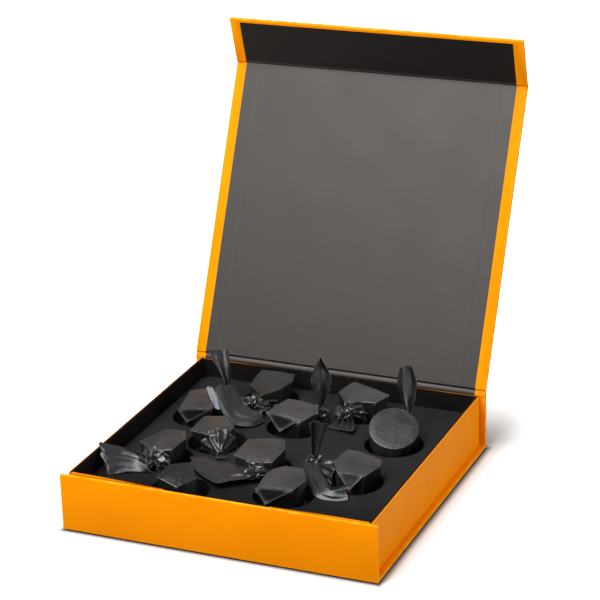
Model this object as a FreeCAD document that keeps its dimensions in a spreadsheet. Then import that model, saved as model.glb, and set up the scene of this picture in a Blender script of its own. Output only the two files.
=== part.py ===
"""A fold-flat gift box with a hinged lid, a magnetic flap and twist-wrapped pralines in a formed tray.

Millimetres. The origin is the centre of the base's underside: X runs right, Y to the back, Z up.
The lid stands open and the closing flap is half folded, as the box is shown.
"""
import FreeCAD
import Part
import Sketcher
import math
import os

from FreeCAD import Placement, Rotation, Vector

# Driving dimensions of the case, the tray and the pralines
SIZES = {
    "case_width": 220.0,
    "case_depth": 210.0,
    "board": 2.0,
    "paper": 0.25,
    "front_height": 38.8,
    "wall_height": 39.2,
    "lid_clearance": 0.3,
    "lid_open": 115.2,
    "lid_start": 1.0,
    "flap_length": 37.9,
    "flap_fold": 41.5,
    "flap_clearance": 0.4,
    "crease_end": 0.5,
    "crease_sheet": 0.5,
    "crease_slack": 0.1,
    "turn_in": 7.5,
    "tip_border": 2.5,
    "edge_border": 0.6,
    "side_inset": 4.2,
    "wall_board": 1.75,
    "gusset_board": 1.25,
    "gusset_length": 67.0,
    "gusset_stand_off": 2.0,
    "tape_length": 24.0,
    "tape_height": 25.0,
    "tape_rise": 5.0,
    "magnet_radius": 6.0,
    "magnet_thickness": 1.5,
    "magnet_spread": 60.0,
    "magnet_drop": 20.0,
    "plate_thickness": 0.8,
    "tray_clearance": 0.5,
    "tray_wall": 0.8,
    "tray_corner": 6.0,
    "tray_draft": 1.0,
    "deck_height": 26.0,
    "pocket_radius": 20.0,
    "pocket_depth": 12.0,
    "pocket_draft": 7.0,
    "pocket_rim": 1.0,
    "pocket_foot": 2.0,
    "pocket_margin": 1.5,
    "seat_gap": 0.3,
    "praline_radius": 16.0,
    "praline_height": 24.2,
    "leaning_height": 20.0,
    "disc_height": 16.0,
    "praline_belly": 6.0,
    "chocolate_radius": 10.5,
    "chocolate_edge": 2.5,
    "chocolate_room": 0.25,
    "wrap_fold": 1.2,
    "wrap_side": 1.95,
    "twist_width": 4.5,
    "twist_thickness": 3.6,
    "twist_root_width": 17.0,
    "twist_root_height": 9.0,
    "twist_root_reach": 11.0,
    "tail_sheet": 0.8,
    "tail_pleat": 1.2,
}

# Share of the top outline's radius that a wrapped praline has at its foot and at its belly
FOOT_SHARE = 0.7
BELLY_SHARE = 0.96

# Share of the chocolate's rounded edge by which the room for it is narrower at its foot
CAVITY_EDGE_SHARE = 0.7
TAIL_PLEATS = 3

# An edge of the tray's block that is at least this share of its height stands upright
TRAY_EDGE_SHARE = 0.9
EDGE_TOLERANCE = 1e-4

# Where each praline stands, the sides of its folded top, how far that is turned and how it leans
LEAN_TOWARDS = -67.0
PRALINES = {
    "a": {"at": (-75, 36), "sides": 5, "turn": 41},
    "b": {"at": (-40, 77), "sides": 6, "turn": 10},
    "c": {"at": (29, 78), "sides": 5, "turn": 75},
    "d": {"at": (68, 36), "sides": 12, "turn": 0, "height": "disc_height", "lean": 18},
    "e": {"at": (-47, 1), "sides": 6, "turn": 25},
    "f": {"at": (-6, 41), "sides": 6, "turn": 0},
    "g": {"at": (-70, -35), "sides": 6, "turn": 15},
    "h": {"at": (-1, -28), "sides": 5, "turn": 50},
    "i": {"at": (-39, -75), "sides": 5, "turn": 30},
    "j": {"at": (28, -59), "sides": 6, "turn": 23, "height": "leaning_height", "lean": 8},
    "k": {"at": (63, -26), "sides": 6, "turn": 5, "height": "leaning_height", "lean": 8},
}

# Twisted paper ends, measured from the foot of their praline: the pinched neck, the middle of the cut
# edge, the way that edge runs, and the width of the paper at each share of the way from neck to edge.
# An upright tail is tall enough for the closing lid to press it down, so it is a piece of its own.
ACROSS_VIEW = (0.92, 0.39, 0.0)
TAILS = {
    "a": {"neck": (12.5, 17, 16.7), "end": (3, 25, 47.7), "edge": ACROSS_VIEW,
          "widths": ((0.5, 9), (1, 14)), "upright": True},
    "b": {"neck": (-4, -19, 17.2), "end": (-15, -29, 18.7), "edge": (0.35, 0.35, 0.87),
          "widths": ((0.5, 8), (1, 12))},
    "c": {"neck": (-6, -19, 17.7), "end": (-2, -36, 15.7), "edge": (0.96, 0.1, 0.25),
          "widths": ((0.5, 8), (1, 11))},
    "d": {"neck": (4.4, 19, 18), "end": (0.4, 23, 59.7), "edge": ACROSS_VIEW,
          "widths": ((0.6, 12), (1, 9)), "upright": True},
    "e": {"neck": (9.5, -18, 15.7), "end": (13, -24, 15), "edge": (0.87, 0.5, 0),
          "widths": ((0.5, 5), (1, 7))},
    "f": {"neck": (18, 8.5, 18), "end": (15, 9, 60.7), "edge": ACROSS_VIEW,
          "widths": ((0.5, 17), (1, 3)), "upright": True},
    "g": {"neck": (-6, -19, 16.7), "end": (-26, -27, 18.7), "edge": (-0.3, 0.35, 0.88),
          "widths": ((0.5, 8), (1, 12))},
    "h": {"neck": (-6, -19.5, 16.7), "end": (-34, -22, 16.9), "edge": (0.77, -0.61, -0.2),
          "widths": ((0.5, 16), (1, 30))},
    "k": {"neck": (-27, 4, 18), "end": (-26, 12, 41.7), "edge": ACROSS_VIEW,
          "widths": ((0.5, 9), (1, 12)), "upright": True},
}

doc = FreeCAD.newDocument("praline_box")
sheet = doc.addObject("Spreadsheet::Sheet", "sizes")
nodes = []


def fill_sheet():
    """Writes every driving dimension and the middle of each praline into the spreadsheet."""
    rows = dict(SIZES)
    for name, praline in PRALINES.items():
        rows[f"praline_{name}_across"], rows[f"praline_{name}_back"] = praline["at"]
    for number, (alias, value) in enumerate(rows.items(), start=1):
        sheet.set(f"A{number}", alias)
        sheet.set(f"B{number}", str(value))
        sheet.setAlias(f"B{number}", alias)
    doc.recompute()


def size(alias):
    """A driving dimension as a plain number, for shapes that are worked out point by point."""
    return float(sheet.get(alias))


# Sizes that follow from the driving dimensions, as expressions
PANEL = "(sizes.board + 2 * sizes.paper)"
HALF_WIDTH = "(sizes.case_width / 2)"
HALF_DEPTH = "(sizes.case_depth / 2)"
HINGE_HEIGHT = f"(sizes.wall_height + sizes.lid_clearance + {PANEL})"
FLAP_START = f"({PANEL} + sizes.lid_clearance)"
LID_SPAN = f"(sizes.case_depth + sizes.flap_clearance + {PANEL})"
LID_TILT = "(180 - sizes.lid_open)"
FLAP_AXIS_Y = f"({HALF_DEPTH} + {LID_SPAN} * cos({LID_TILT}))"
FLAP_AXIS_Z = f"({HINGE_HEIGHT} + {LID_SPAN} * sin({LID_TILT}))"
WALL_OUTSIDE = f"({HALF_WIDTH} - sizes.side_inset)"
WALL_INSIDE = f"({WALL_OUTSIDE} - sizes.wall_board - sizes.paper)"
WALL_RISE = f"(sizes.wall_height - {PANEL})"
GUSSET_BACK = f"({HALF_DEPTH} - {PANEL} - sizes.paper)"
GUSSET_FRONT = f"(-{GUSSET_BACK})"
TRAY_SIDE = f"({WALL_INSIDE} - sizes.tray_clearance)"
TRAY_BACK = f"({GUSSET_BACK} - sizes.gusset_board - sizes.tray_clearance)"
TRAY_FRONT = f"({TRAY_BACK} - sizes.gusset_stand_off)"
TRAY_RISE = f"(sizes.deck_height - {PANEL})"


def node(solid, label):
    """Marks a document object as a sub-part and names it."""
    solid.Label = label
    nodes.append(solid)
    return solid


def bind_base(solid, x, y, z):
    """Ties the place of an object to expressions."""
    for axis, expression in zip("xyz", (x, y, z)):
        solid.setExpression(f"Placement.Base.{axis}", expression)


def box(name, corner, extent):
    """A block between expressions: its lowest corner and its three extents."""
    block = doc.addObject("Part::Box", name)
    for side, expression in zip(("Length", "Width", "Height"), extent):
        block.setExpression(side, expression)
    bind_base(block, *corner)
    return block


def disc(name, radius, height, centre):
    """An upright disc whose sizes and place are expressions."""
    round_block = doc.addObject("Part::Cylinder", name)
    round_block.setExpression("Radius", radius)
    round_block.setExpression("Height", height)
    bind_base(round_block, *centre)
    return round_block


def cut(name, whole, tool):
    """One object with another taken out of it."""
    result = doc.addObject("Part::Cut", name)
    result.Base = whole
    result.Tool = tool
    return result


def group(name, members):
    """Several objects, or one, as an object with a place of its own."""
    together = doc.addObject("Part::Compound", name)
    together.Links = members
    return together


def tip(solid, angle, y, z):
    """Turns an object about X by an expression, about a point in the middle plane."""
    solid.Placement = Placement(Vector(), Rotation(Vector(1, 0, 0), 45))
    solid.setExpression("Placement.Rotation.Angle", angle)
    bind_base(solid, "0", y, z)


def lay_base(solid):
    bind_base(solid, "0", f"-{HALF_DEPTH}", "0")


def stand_front(solid):
    solid.Placement = Placement(Vector(), Rotation(Vector(0, 1, 1), 180))
    bind_base(solid, "0", f"-{HALF_DEPTH}", "0")


def stand_spine(solid):
    tip(solid, "90", HALF_DEPTH, "0")


def hang_lid(solid):
    tip(solid, LID_TILT, HALF_DEPTH, HINGE_HEIGHT)


def hang_flap(solid):
    tip(solid, f"{LID_TILT} + sizes.flap_fold", FLAP_AXIS_Y, FLAP_AXIS_Z)


def panel(name, start, end, far_border, place, insert=None):
    """A greyboard in its wrap, with a lining let in between the turned-in edges.

    It is drawn flat, outer face down: Y runs from start to end, Z goes inwards. An insert is a group of
    discs sunk into the board.
    """
    length = f"({end} - {start})"
    sheet_length = f"{length} - sizes.edge_border - {far_border}"
    block = box(f"{name}_block", (f"-{HALF_WIDTH}", start, "0"), ("sizes.case_width", length, PANEL))
    core = box(
        f"{name}_core",
        (f"sizes.paper - {HALF_WIDTH}", f"{start} + sizes.paper", "sizes.paper"),
        ("sizes.case_width - 2 * sizes.paper", f"{length} - 2 * sizes.paper", "sizes.board"),
    )
    sheet_block = box(
        f"{name}_sheet",
        (f"sizes.turn_in - {HALF_WIDTH}", f"{start} + sizes.edge_border", "sizes.paper + sizes.board"),
        ("sizes.case_width - 2 * sizes.turn_in", sheet_length, "sizes.paper"),
    )
    hollow = cut(f"{name}_hollow", block, core)
    wrap = node(cut(f"{name}_wrap_cut", hollow, sheet_block), f"{name}_wrap")
    board = cut(f"{name}_board_cut", core, insert) if insert else group(f"{name}_board_group", [core])
    node(board, f"{name}_board")
    lining = node(group(f"{name}_lining_group", [sheet_block]), f"{name}_lining")
    for piece in (wrap, board, lining):
        place(piece)


def disc_pair(name, thickness, y, z):
    """Two discs, left and right, in a panel's flat frame."""
    sides = [(f"{name}_left", "-sizes.magnet_spread"), (f"{name}_right", "sizes.magnet_spread")]
    return [disc(label, "sizes.magnet_radius", thickness, (x, y, z)) for label, x in sides]


def make_case():
    """Base, front panel, spine, lid and closing flap, with the magnets and the plates that they catch."""
    panel("base", PANEL, "sizes.case_depth", "sizes.edge_border", lay_base)
    panel("spine", PANEL, "sizes.wall_height", "sizes.edge_border", stand_spine)
    rise = f"{HINGE_HEIGHT} - sizes.magnet_drop"
    plates = disc_pair("catch_plate", "sizes.plate_thickness", rise, "sizes.paper")
    plate_seats = group("catch_plate_seats", plates)
    panel("front", "0", "sizes.front_height", "sizes.edge_border", stand_front, plate_seats)
    stand_front(node(group("catch_plate_group", plates), "catch_plates"))
    panel("lid", "sizes.lid_start", f"({LID_SPAN} - sizes.crease_end)", "sizes.edge_border", hang_lid)
    depth = "sizes.paper + sizes.board - sizes.magnet_thickness"
    magnets = disc_pair("flap_magnet", "sizes.magnet_thickness", "sizes.magnet_drop", depth)
    magnet_seats = group("flap_magnet_seats", magnets)
    panel("flap", FLAP_START, "sizes.flap_length", "sizes.tip_border", hang_flap, magnet_seats)
    hang_flap(node(group("flap_magnet_group", magnets), "flap_magnets"))


def crease(label, near_start, near_reach, near_place, far_start, far_reach, far_place, y, z):
    """The paper hinge between two panels: a strip on each side of the fold and the rounded fold between."""
    strips = []
    for side, start, reach, place in (
        ("near", near_start, near_reach, near_place),
        ("far", far_start, far_reach, far_place),
    ):
        strip = box(
            f"{label}_{side}_strip",
            (f"-{HALF_WIDTH}", start, "0"),
            ("sizes.case_width", reach, "sizes.crease_sheet"),
        )
        placed = group(f"{label}_{side}", [strip])
        place(placed)
        strips.append(placed)
    fold = doc.addObject("Part::Cylinder", f"{label}_fold")
    fold.setExpression("Radius", "sizes.crease_sheet")
    fold.setExpression("Height", "sizes.case_width")
    fold.Placement = Placement(Vector(), Rotation(Vector(0, 1, 0), 90))
    bind_base(fold, f"-{HALF_WIDTH}", y, z)
    joined = doc.addObject("Part::MultiFuse", f"{label}_joined")
    joined.Shapes = strips + [fold]
    joined.Refine = True
    node(joined, label)


def make_creases():
    """The two folds that move: lid on spine, and flap on lid."""
    crease(
        "lid_crease",
        "sizes.wall_height", f"{HINGE_HEIGHT} - sizes.wall_height", stand_spine,
        "0", "sizes.lid_start - sizes.crease_slack", hang_lid,
        HALF_DEPTH, HINGE_HEIGHT,
    )
    crease(
        "flap_crease",
        f"{LID_SPAN} - sizes.crease_end", "sizes.crease_end", hang_lid,
        "0", f"{FLAP_START} - sizes.crease_slack", hang_flap,
        FLAP_AXIS_Y, FLAP_AXIS_Z,
    )


def make_walls():
    """The two set-in side walls, each with a black lining; the left one stops short of the front panel."""
    for side, left in (("left", True), ("right", False)):
        front = f"{GUSSET_FRONT} + sizes.gusset_stand_off" if left else GUSSET_FRONT
        run = f"{GUSSET_BACK} - ({front})"
        outer = f"-{WALL_OUTSIDE}" if left else f"{WALL_OUTSIDE} - sizes.wall_board"
        inner = f"sizes.wall_board - {WALL_OUTSIDE}" if left else WALL_INSIDE
        wall = box(f"{side}_wall", (outer, front, PANEL), ("sizes.wall_board", run, WALL_RISE))
        lining = box(f"{side}_wall_sheet", (inner, front, PANEL), ("sizes.paper", run, WALL_RISE))
        node(wall, f"{side}_wall")
        node(lining, f"{side}_wall_lining")


def make_gussets():
    """The four folding corner flaps of the side walls and the tape that holds them to front and spine."""
    extent = ("sizes.gusset_length", "sizes.gusset_board", WALL_RISE)
    right_end = f"{WALL_INSIDE} - sizes.gusset_length"
    back = f"{GUSSET_BACK} - sizes.gusset_board"
    node(box("left_back_flap", (f"-{WALL_INSIDE}", back, PANEL), extent), "left_back_gusset")
    node(box("right_back_flap", (right_end, back, PANEL), extent), "right_back_gusset")
    node(box("right_front_flap", (right_end, GUSSET_FRONT, PANEL), extent), "right_front_gusset")
    stood_off = f"{GUSSET_FRONT} + sizes.gusset_stand_off"
    slanted = box("left_front_flap", (f"-{WALL_INSIDE}", stood_off, PANEL), extent)
    node(slanted, "left_front_gusset")
    slanted.Placement = Placement(Vector(), Rotation(Vector(0, 0, -1), 1))
    slant = "asin(sizes.gusset_stand_off / sizes.gusset_length)"
    slanted.setExpression("Placement.Rotation.Angle", slant)
    tape_extent = ("sizes.tape_length", "sizes.paper", "sizes.tape_height")
    left = f"sizes.gusset_length - {WALL_INSIDE} - sizes.tape_length"
    rise = f"{PANEL} + sizes.tape_rise"
    front_face = f"{PANEL} - {HALF_DEPTH}"
    places = [(left, front_face), (right_end, front_face), (left, GUSSET_BACK), (right_end, GUSSET_BACK)]
    tapes = []
    for number, (x, y) in enumerate(places, start=1):
        tapes.append(box(f"tape_{number}", (x, y, rise), tape_extent))
    node(group("tape_group", tapes), "gusset_tapes")


def origin_plane(body):
    return next(plane for plane in body.Origin.OriginFeatures if plane.Role == "XY_Plane")


def new_sketch(body, name, height):
    """An empty sketch of a body, level at a height given by an expression."""
    sketch = body.newObject("Sketcher::SketchObject", name)
    sketch.AttachmentSupport = [(origin_plane(body), "")]
    sketch.MapMode = "FlatFace"
    sketch.setExpression("AttachmentOffset.Base.z", height)
    return sketch


def constrain(sketch, constraint, expression):
    """Adds a measured constraint and ties it to an expression."""
    number = sketch.addConstraint(Sketcher.Constraint(*constraint))
    sketch.setExpression(f"Constraints[{number}]", expression)


def away_from_origin(sketch, kind, point, value, expression):
    """Holds a point at a distance from the sketch's origin, on the side that the value's sign gives."""
    origin = (-1, 1)
    if value >= 0:
        constrain(sketch, (kind, *origin, *point, value), expression)
    else:
        constrain(sketch, (kind, *point, *origin, -value), f"-({expression})")


def rectangle_sketch(body, name, height, inset):
    """The tray's outline, moved inwards by an expression."""
    sketch = new_sketch(body, name, height)
    start = size("case_width") / 2
    signs = ((-1, -1), (1, -1), (1, 1), (-1, 1))
    corners = [Vector(start * across, start * back, 0) for across, back in signs]
    for number, corner in enumerate(corners):
        sketch.addGeometry(Part.LineSegment(corner, corners[(number + 1) % len(corners)]), False)
    for number in range(4):
        sketch.addConstraint(Sketcher.Constraint("Coincident", number, 2, (number + 1) % 4, 1))
        sketch.addConstraint(Sketcher.Constraint("Vertical" if number % 2 else "Horizontal", number))
    side = f"{TRAY_SIDE} - {inset}"
    away_from_origin(sketch, "DistanceX", (0, 1), -start, f"-({side})")
    away_from_origin(sketch, "DistanceX", (1, 1), start, side)
    away_from_origin(sketch, "DistanceY", (0, 1), -start, f"-({TRAY_FRONT} - {inset})")
    away_from_origin(sketch, "DistanceY", (2, 1), start, f"{TRAY_BACK} - {inset}")
    return sketch


def fits(name):
    """Whether a praline's cup lies within the tray: a smaller case takes fewer pralines."""
    reach = size("pocket_radius") + size("tray_wall") + size("pocket_margin")
    across = abs(size(f"praline_{name}_across"))
    back = size(f"praline_{name}_back")
    side = sheet.evalExpression(TRAY_SIDE)
    front = -sheet.evalExpression(TRAY_FRONT)
    rear = sheet.evalExpression(TRAY_BACK)
    return across + reach <= side and front <= back - reach and back + reach <= rear


def circles_sketch(body, name, height, radius, pralines):
    """One circle for each praline's pocket."""
    sketch = new_sketch(body, name, height)
    for praline in pralines:
        across = size(f"praline_{praline}_across")
        back = size(f"praline_{praline}_back")
        start_radius = size("pocket_radius")
        drawn = Part.Circle(Vector(across, back, 0), Vector(0, 0, 1), start_radius)
        circle = sketch.addGeometry(drawn, False)
        constrain(sketch, ("Radius", circle, start_radius), radius)
        away_from_origin(sketch, "DistanceX", (circle, 3), across, f"sizes.praline_{praline}_across")
        away_from_origin(sketch, "DistanceY", (circle, 3), back, f"sizes.praline_{praline}_back")
    return sketch


def extrude(body, kind, name, sketch, length, taper, downwards):
    """A pad or pocket of a sketch, tapered, with the volume that it adds or takes checked."""
    doc.recompute()
    before = body.Shape.Volume if body.Tip else 0.0
    feature = body.newObject(f"PartDesign::{kind}", name)
    feature.Profile = sketch
    feature.setExpression("Length", length)
    feature.setExpression("TaperAngle", taper)
    feature.Reversed = downwards if kind == "Pad" else not downwards
    doc.recompute()
    change = body.Shape.Volume - before
    if (change > 0) != (kind == "Pad"):
        raise RuntimeError(f"{name} changed the volume by {change}")
    return feature


def level_circles(shape, height, radius):
    """Names of a shape's circles of a radius, or of any radius, that lie level at a height."""
    names = []
    for number, edge in enumerate(shape.Edges, start=1):
        if not isinstance(edge.Curve, Part.Circle) or abs(edge.BoundBox.Center.z - height) > EDGE_TOLERANCE:
            continue
        if radius is None or abs(edge.Curve.Radius - radius) < EDGE_TOLERANCE:
            names.append(f"Edge{number}")
    return names


def round_edges(body, name, edges, radius):
    """A fillet on named edges of the body's last feature."""
    previous = body.Tip
    feature = body.newObject("PartDesign::Fillet", name)
    feature.Base = (previous, edges)
    feature.setExpression("Radius", radius)
    doc.recompute()
    return feature


def make_tray(pralines):
    """The formed insert: a drafted shell open below, with a tapered, rounded cup for each praline."""
    body = doc.addObject("PartDesign::Body", "tray_body")
    draft = "-sizes.tray_draft"
    outline = rectangle_sketch(body, "tray_outline", PANEL, "0")
    extrude(body, "Pad", "tray_block", outline, TRAY_RISE, draft, False)
    standing = []
    for number, edge in enumerate(body.Shape.Edges, start=1):
        if edge.BoundBox.ZLength > TRAY_EDGE_SHARE * body.Shape.BoundBox.ZLength:
            standing.append(f"Edge{number}")
    round_edges(body, "tray_corners", standing, "sizes.tray_corner")
    inside = rectangle_sketch(body, "tray_inside", PANEL, "sizes.tray_wall")
    extrude(body, "Pocket", "tray_hollow", inside, f"{TRAY_RISE} - sizes.tray_wall", draft, False)
    taper = "-sizes.pocket_draft"
    cup_radius = "sizes.pocket_radius + sizes.tray_wall"
    cups = circles_sketch(body, "cup_outlines", "sizes.deck_height", cup_radius, pralines)
    extrude(body, "Pad", "cups", cups, "sizes.pocket_depth + sizes.tray_wall", taper, True)
    mouth_radius = "sizes.pocket_radius"
    mouths = circles_sketch(body, "pocket_outlines", "sizes.deck_height", mouth_radius, pralines)
    extrude(body, "Pocket", "pockets", mouths, "sizes.pocket_depth", taper, True)
    deck = size("deck_height")
    floor = deck - size("pocket_depth")
    round_edges(body, "pocket_feet", level_circles(body.Shape, floor, None), "sizes.pocket_foot")
    rims = level_circles(body.Shape, deck, size("pocket_radius"))
    round_edges(body, "pocket_rims", rims, "sizes.pocket_rim")
    node(body, "insert_tray")


def polygon(points):
    return Part.makePolygon(points + points[:1])


def ring(sides, radius, height):
    """The corners of a level regular polygon about the Z axis."""
    angles = [2 * math.pi * number / sides for number in range(sides)]
    return [Vector(radius * math.cos(angle), radius * math.sin(angle), height) for angle in angles]


def praline_height(name):
    return size(PRALINES[name].get("height", "praline_height"))


def praline_place(name):
    """Stands a praline in its pocket: turned, leaning, and lifted so that its lowest corner is seated."""
    praline = PRALINES[name]
    lean = praline.get("lean", 0)
    foot = FOOT_SHARE * size("praline_radius") / math.cos(math.pi / praline["sides"])
    rise = foot * math.sin(math.radians(lean))
    seat = size("deck_height") - size("pocket_depth") + size("seat_gap") + rise
    away = math.radians(LEAN_TOWARDS + 90)
    leaning = Rotation(Vector(math.cos(away), math.sin(away), 0), lean)
    centre = Vector(size(f"praline_{name}_across"), size(f"praline_{name}_back"), seat)
    return Placement(centre, leaning.multiply(Rotation(Vector(0, 0, 1), praline["turn"])))


def drum(name):
    """The folded body of a wrapper: a flat polygon top drawn in towards the foot."""
    sides = PRALINES[name]["sides"]
    corner = size("praline_radius") / math.cos(math.pi / sides)
    levels = ((0, FOOT_SHARE), (size("praline_belly"), BELLY_SHARE), (praline_height(name), 1))
    return Part.makeLoft([polygon(ring(sides, share * corner, level)) for level, share in levels], True, True)


def cavity(name):
    """The room inside a wrapper for its chocolate, drawn in at the foot as the chocolate's edge is."""
    sides = PRALINES[name]["sides"]
    full = size("praline_radius") - size("wrap_side")
    foot = full - CAVITY_EDGE_SHARE * size("chocolate_edge")
    fold = size("praline_belly") / 2 + size("wrap_fold")
    top = praline_height(name) - size("wrap_fold")
    levels = ((fold, foot), (size("praline_belly"), full), (top, full))
    rings = [ring(sides, radius / math.cos(math.pi / sides), level) for level, radius in levels]
    return Part.makeLoft([polygon(corners) for corners in rings], True, True)


def pleated(centre, along, across, width, sheet, pleat):
    """A closed zigzag strip across a tail: its upper folds out and its lower folds back."""
    across = Vector(across).normalize()
    normal = Vector(along).cross(across).normalize()
    folds = 2 * TAIL_PLEATS
    upper = []
    lower = []
    for number in range(folds + 1):
        side = across * (width * (number / folds - 0.5))
        wave = pleat if number % 2 else -pleat
        upper.append(centre + side + normal * (wave + sheet / 2))
        lower.append(centre + side + normal * (wave - sheet / 2))
    return upper + lower[::-1]


def tail_sections(name):
    """The outlines of a twisted end: from inside the drum to the neck, and from the neck to the cut edge."""
    tail = TAILS[name]
    foot = Vector(size(f"praline_{name}_across"), size(f"praline_{name}_back"), 0)
    foot.z = size("deck_height") - size("pocket_depth") + size("seat_gap")
    neck = foot + Vector(*tail["neck"])
    end = foot + Vector(*tail["end"])
    outwards = Vector(tail["neck"][0], tail["neck"][1], 0).normalize()
    root = foot + outwards * size("twist_root_reach")
    root.z = neck.z
    flat = Vector(0, 0, 1).cross(outwards)
    edge = Vector(*tail["edge"])
    run = end - neck
    pleat = size("tail_pleat")
    start = pleated(
        root, outwards, flat, size("twist_root_width"), size("twist_root_height"), pleat
    )
    pinch = pleated(
        neck, outwards, flat, size("twist_width"), size("twist_thickness"), pleat / 4
    )
    fan = [
        pleated(neck + run * share, run, edge, width, size("tail_sheet"), pleat)
        for share, width in tail["widths"]
    ]
    return start, pinch, fan


def make_wrapper(name):
    """A praline's paper: the folded drum, with the twist that gathers it and the fan that it ends in."""
    paper = drum(name)
    room = cavity(name)
    place = praline_place(name)
    paper.Placement = place
    room.Placement = place
    if name in TAILS:
        start, pinch, fan = tail_sections(name)
        upright = TAILS[name].get("upright", False)
        outlines = [start, pinch] if upright else [start, pinch] + fan
        twist = Part.makeLoft([polygon(outline) for outline in outlines], True, True)
        paper = paper.fuse(twist)
        if upright:
            tail = doc.addObject("Part::Feature", f"tail_{name}_paper")
            tail.Shape = Part.makeLoft([polygon(outline) for outline in [pinch] + fan], True, True)
            node(tail, f"tail_{name}")
    wrapper = doc.addObject("Part::Feature", f"wrapper_{name}_paper")
    wrapper.Shape = paper.cut(room)
    node(wrapper, f"wrapper_{name}")


def make_chocolate(name):
    """The chocolate inside a wrapper: a round block with softened edges."""
    height = PRALINES[name].get("height", "praline_height")
    foot = "(sizes.praline_belly / 2 + sizes.wrap_fold + sizes.chocolate_room)"
    block = doc.addObject("Part::Cylinder", f"chocolate_{name}_block")
    block.setExpression("Radius", "sizes.chocolate_radius")
    block.setExpression("Height", f"sizes.{height} - {foot} - sizes.wrap_fold - sizes.chocolate_room")
    bind_base(block, "0", "0", foot)
    doc.recompute()
    softened = doc.addObject("Part::Fillet", f"chocolate_{name}_soft")
    softened.Base = block
    edge = size("chocolate_edge")
    rims = [n for n, e in enumerate(block.Shape.Edges, start=1) if not isinstance(e.Curve, Part.Line)]
    softened.Edges = [(number, edge, edge) for number in rims]
    softened.Placement = praline_place(name)
    node(softened, f"chocolate_{name}")


def check(solid):
    """Stops the build if a sub-part failed or its solids are not whole."""
    failed = {"Invalid", "Error"} & set(solid.State)
    if failed or solid.Shape.isNull() or not solid.Shape.isValid() or not solid.Shape.Solids:
        raise RuntimeError(f"{solid.Label} failed: {solid.State}")
    if min(part.Volume for part in solid.Shape.Solids) <= 0:
        raise RuntimeError(f"{solid.Label} has an empty solid")


def main():
    fill_sheet()
    make_case()
    make_creases()
    make_walls()
    make_gussets()
    pralines = [name for name in PRALINES if fits(name)]
    make_tray(pralines)
    for name in pralines:
        make_chocolate(name)
        make_wrapper(name)
    doc.recompute()
    for item in doc.Objects:
        if {"Invalid", "Error"} & set(item.State):
            raise RuntimeError(f"{item.Name} failed: {item.State}")
    for solid in nodes:
        check(solid)
    os.makedirs("parts", exist_ok=True)
    for solid in nodes:
        solid.Shape.exportStep(f"parts/{solid.Label}.step")
    print(len(nodes), "sub-parts written")


main()
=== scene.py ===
"""The looks of a chocolate box: papered boards, black linings, a formed tray and twist-wrapped pralines.

Metres, in the frame of the solids: X runs right, Y to the back, Z up.
"""

import math
import random

import bpy
from mathutils import Matrix, Vector, noise


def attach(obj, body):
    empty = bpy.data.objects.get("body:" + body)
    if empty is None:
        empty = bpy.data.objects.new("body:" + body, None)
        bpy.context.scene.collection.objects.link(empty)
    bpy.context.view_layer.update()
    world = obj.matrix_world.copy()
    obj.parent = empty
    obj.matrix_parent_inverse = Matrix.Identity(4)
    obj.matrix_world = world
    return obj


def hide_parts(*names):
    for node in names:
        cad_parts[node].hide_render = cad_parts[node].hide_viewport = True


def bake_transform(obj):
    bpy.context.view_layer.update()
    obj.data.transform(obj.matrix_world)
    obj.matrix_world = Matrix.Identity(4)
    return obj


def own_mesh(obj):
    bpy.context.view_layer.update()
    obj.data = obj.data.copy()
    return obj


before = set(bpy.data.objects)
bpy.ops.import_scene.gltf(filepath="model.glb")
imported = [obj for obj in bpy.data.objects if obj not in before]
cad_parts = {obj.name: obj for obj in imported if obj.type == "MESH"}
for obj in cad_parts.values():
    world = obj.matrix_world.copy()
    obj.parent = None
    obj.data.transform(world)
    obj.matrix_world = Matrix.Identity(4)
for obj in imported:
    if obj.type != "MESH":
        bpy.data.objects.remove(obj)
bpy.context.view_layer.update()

MM = 0.001

# Places nearer than this count as the same, and heights under this as none
NEAR = 1e-4
NO_HEIGHT = 1e-9

# Sizes of the case, as its solids have them
CASE_WIDTH = 0.220
CASE_DEPTH = 0.210
PAPER = 0.00025
PANEL = 0.0025
FRONT_HEIGHT = 0.0388
WALL_HEIGHT = 0.0392
TURN_IN = 0.0075
EDGE_BORDER = 0.0006
TIP_BORDER = 0.0025
LID_START = 0.001
LID_SPAN = 0.2129
CREASE_END = 0.0005
LID_END = LID_SPAN - CREASE_END
FLAP_START = 0.0028
FLAP_END = 0.0379
LID_TILT = math.radians(64.8)
FLAP_FOLD = math.radians(41.5)
FLAP_TILT = LID_TILT + FLAP_FOLD
HINGE_HEIGHT = 0.042
HINGE = Vector((0, CASE_DEPTH / 2, HINGE_HEIGHT))
FLAP_AXIS = HINGE + LID_SPAN * Vector((0, math.cos(LID_TILT), math.sin(LID_TILT)))

# Where each panel of the case stands: drawn flat with its outer face down, Y from fold to fold
BASE_PLACE = Matrix.Translation((0, -CASE_DEPTH / 2, 0))
FRONT_PLACE = BASE_PLACE @ Matrix.Rotation(math.pi, 4, Vector((0, 1, 1)).normalized())
SPINE_PLACE = Matrix.Translation((0, CASE_DEPTH / 2, 0)) @ Matrix.Rotation(math.pi / 2, 4, "X")
LID_PLACE = Matrix.Translation(HINGE) @ Matrix.Rotation(LID_TILT, 4, "X")
FLAP_PLACE = Matrix.Translation(FLAP_AXIS) @ Matrix.Rotation(FLAP_TILT, 4, "X")

# Heights and reaches of the tray and of the wrapped bodies in it, and the room under the closed lid
DECK = 26 * MM
SEAT = 14.3 * MM
WAIST = 25.0 * MM
TUCK_REACH = 14.0 * MM
FOOT_REACH = 12.0 * MM
POCKET_REACH = 19 * MM
LID_ROOM = 39.2 * MM

# Sorts of waxed paper, by their places among a piece's materials; the crumpled and loose sorts are the one
# paper in darker copies, as painted shade
SMOOTH, CRUMPLED, LOOSE, CUT_AND_HIGHLIGHT = range(4)

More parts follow.
